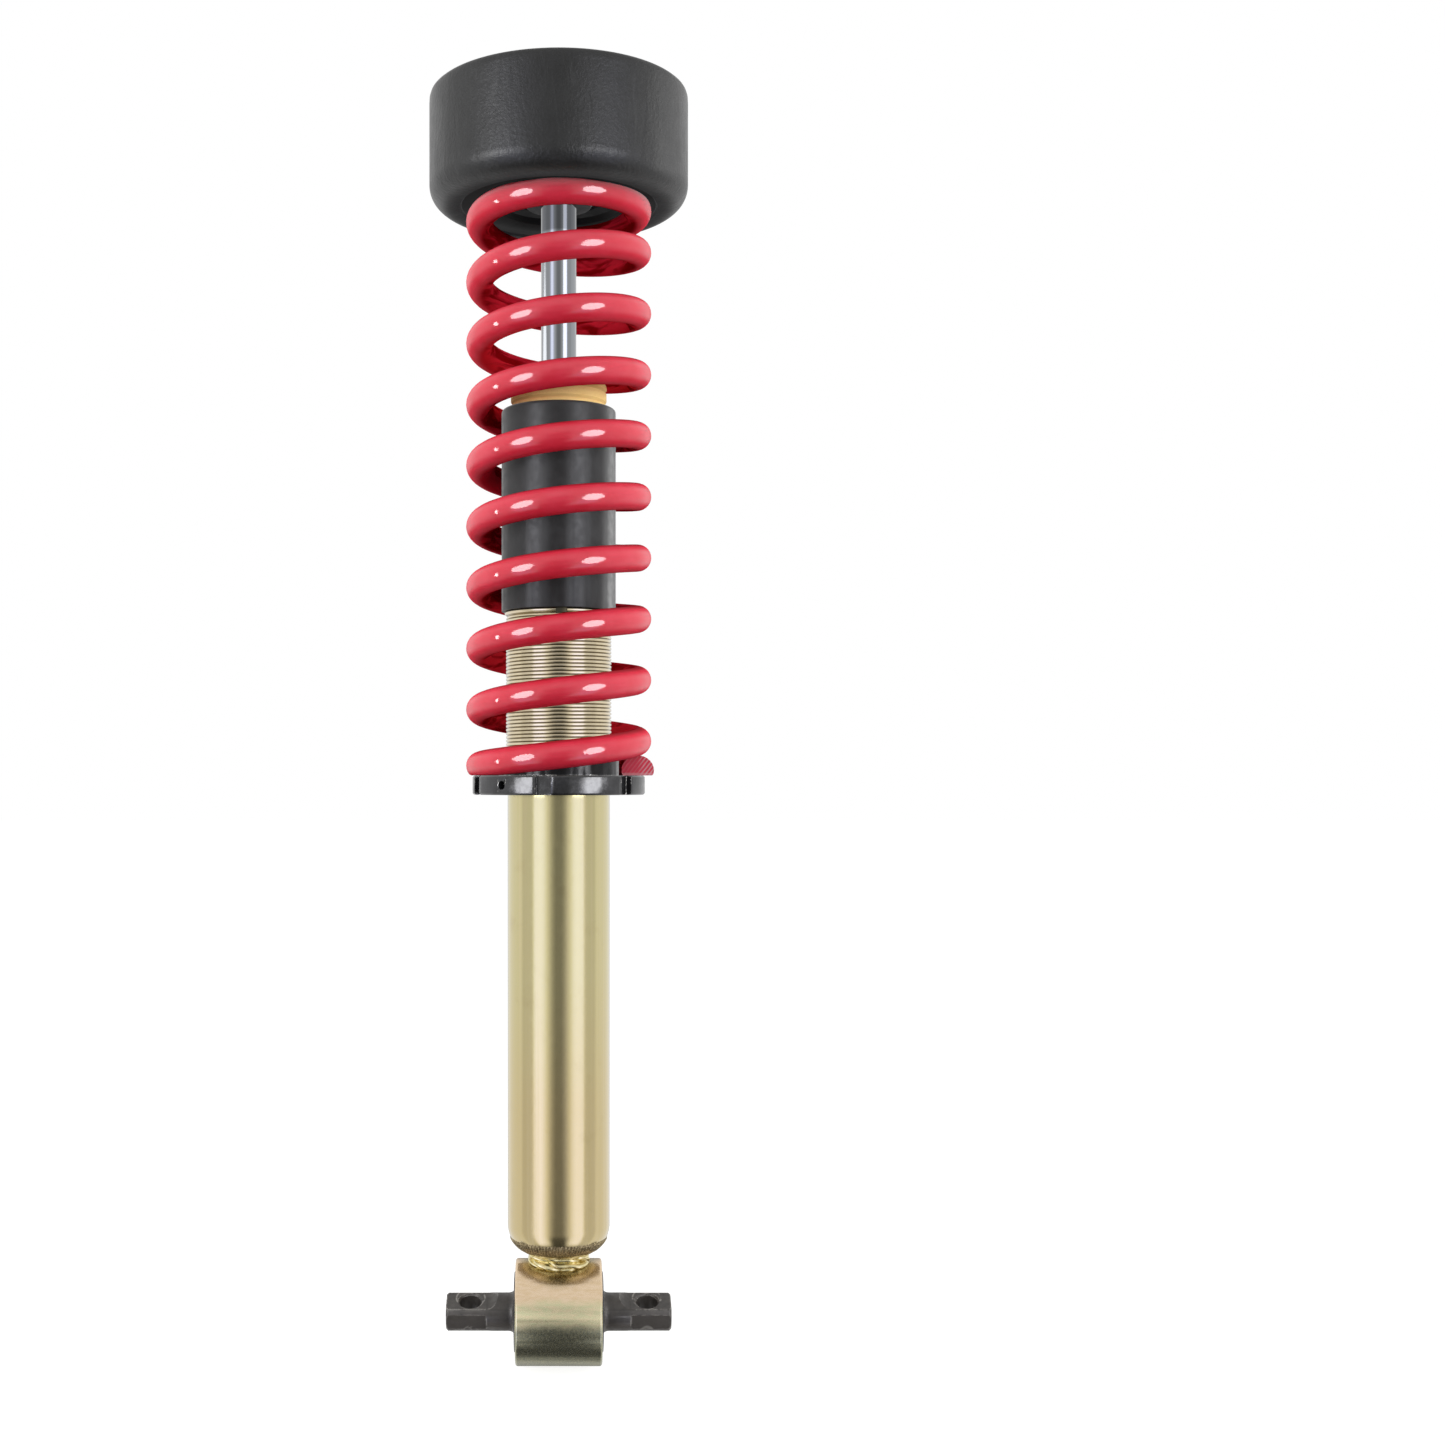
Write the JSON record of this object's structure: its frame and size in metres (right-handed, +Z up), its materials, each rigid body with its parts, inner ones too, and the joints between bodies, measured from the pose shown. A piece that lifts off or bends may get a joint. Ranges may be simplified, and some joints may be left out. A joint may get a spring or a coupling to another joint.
{
  "type": "coilover",
  "caption": "Suspension coilover: threaded gas damper with an adjustable perch ring, coil spring, bar-pin bush below and rubber-cased stud mount above.",
  "frame": {"origin": "centre of the lower bar pin, midway between its two bolt holes and on the damper's axis", "axes": "+Z up the damper's axis to the top mount, +X along the bar pin, -Y towards the side from which the bolt holes' mouths lean into view"},
  "size_m": [0.129, 0.129, 0.6325],
  "materials": {
    "forged_steel": "black phosphate over forged scale, worn bright on the edges",
    "bush_rubber": "moulded black rubber, matt",
    "shell_steel": "plain drawn steel, oily",
    "gold_zinc": "yellow zinc plate, bright, with upright bands of reflection",
    "weld_gold": "plated weld bead, shiny",
    "ring_steel": "spring steel wire, dark",
    "sleeve_black": "black satin, smooth",
    "bump_foam": "tan microcellular urethane, matt with fine pores",
    "machined_alloy": "turned aluminium",
    "bearing_bronze": "bronze-backed bearing lining",
    "seal_rubber": "moulded seal rubber",
    "anodised_black": "black anodised, chipped bright on the slot edges",
    "screw_steel": "black oxide",
    "spring_red": "gloss red powder coat with slight orange peel",
    "rod_chrome": "ground and polished hard chrome",
    "piston_steel": "sintered steel, fine turned",
    "band_plastic": "filled PTFE band",
    "shim_steel": "blank spring steel, ground",
    "stop_urethane": "orange urethane",
    "zinc_steel": "clear zinc plate",
    "washer_black": "black zinc plate",
    "mount_steel": "black electrocoat over pressed steel",
    "mount_rubber": "moulded black rubber, satin, faint scuffs"
  },
  "bodies": {
    "pin": {"bar_pin": "forged_steel"},
    "damper": {"bush_rubber": "bush_rubber", "bush_shell": "shell_steel", "lower_eye": "gold_zinc", "eye_weld": "weld_gold", "damper_tube": "gold_zinc", "sleeve_clip": "gold_zinc", "guide_sleeve": "sleeve_black", "bump_stop": "bump_foam", "gland": "machined_alloy", "gland_o_ring": "seal_rubber", "rod_bearing": "bearing_bronze", "rod_seal": "seal_rubber", "rod_wiper": "seal_rubber", "gland_retainer": "ring_steel"},
    "divider": {"divider_piston": "machined_alloy", "divider_o_ring": "seal_rubber"},
    "spring": {"coil_spring": "spring_red"},
    "perch": {"perch_ring": "anodised_black", "perch_screw": "screw_steel"},
    "rod": {"piston_rod": "rod_chrome", "piston": "piston_steel", "piston_band": "band_plastic", "compression_shims": "shim_steel", "rebound_shims": "shim_steel", "piston_nut": "zinc_steel", "backing_washer": "zinc_steel", "rebound_stop": "stop_urethane", "lower_washer": "washer_black", "rod_spacer": "zinc_steel", "upper_washer": "washer_black", "rod_nut": "zinc_steel"},
    "rod_bushes": {"lower_rod_bush": "bush_rubber", "upper_rod_bush": "bush_rubber"},
    "mount": {"mount_hub": "mount_steel", "mount_plate": "mount_steel", "mount_inserts": "zinc_steel", "mount_casing": "mount_rubber", "spring_pad": "mount_rubber"}
  },
  "joints": [
    {"name": "bush_pivot", "type": "hinge", "parent": "pin", "child": "damper", "pos_m": [0, 0, 0], "axis": [1, 0, 0], "range_deg": [-15, 15], "stiffness_Nm_per_rad": 130},
    {"name": "perch_height", "type": "slide", "parent": "damper", "child": "spring", "axis": [0, 0, 1], "range_m": [0, 0.06]},
    {"name": "perch_turn", "type": "hinge", "parent": "spring", "child": "perch", "pos_m": [0, 0, 0.263], "axis": [0, 0, 1], "range_deg": [0, 12001]},
    {"name": "damper_travel", "type": "slide", "parent": "spring", "child": "rod", "axis": [0, 0, 1], "range_m": [-0.078, 0], "stiffness_N_per_m": 100000, "springref_m": 0.002, "deforming": ["coil_spring"]},
    {"name": "divider_travel", "type": "slide", "parent": "damper", "child": "divider", "axis": [0, 0, 1], "range_m": [-0.0115, 0.0005]},
    {"name": "mount_rock", "type": "hinge", "parent": "rod", "child": "rod_bushes", "pos_m": [0, 0, 0.5702], "axis": [0, 1, 0], "range_deg": [-3, 3], "stiffness_Nm_per_rad": 90, "deforming": ["lower_rod_bush"]},
    {"name": "mount_tilt", "type": "hinge", "parent": "rod_bushes", "child": "mount", "pos_m": [0, 0, 0.5702], "axis": [1, 0, 0], "range_deg": [-3, 3], "stiffness_Nm_per_rad": 90, "deforming": ["upper_rod_bush"]}
  ],
  "couplings": [
    {"joint": "perch_turn", "follows": "perch_height", "rad_per_m": 3490.7},
    {"joint": "divider_travel", "follows": "damper_travel", "ratio": 0.14473}
  ]
}
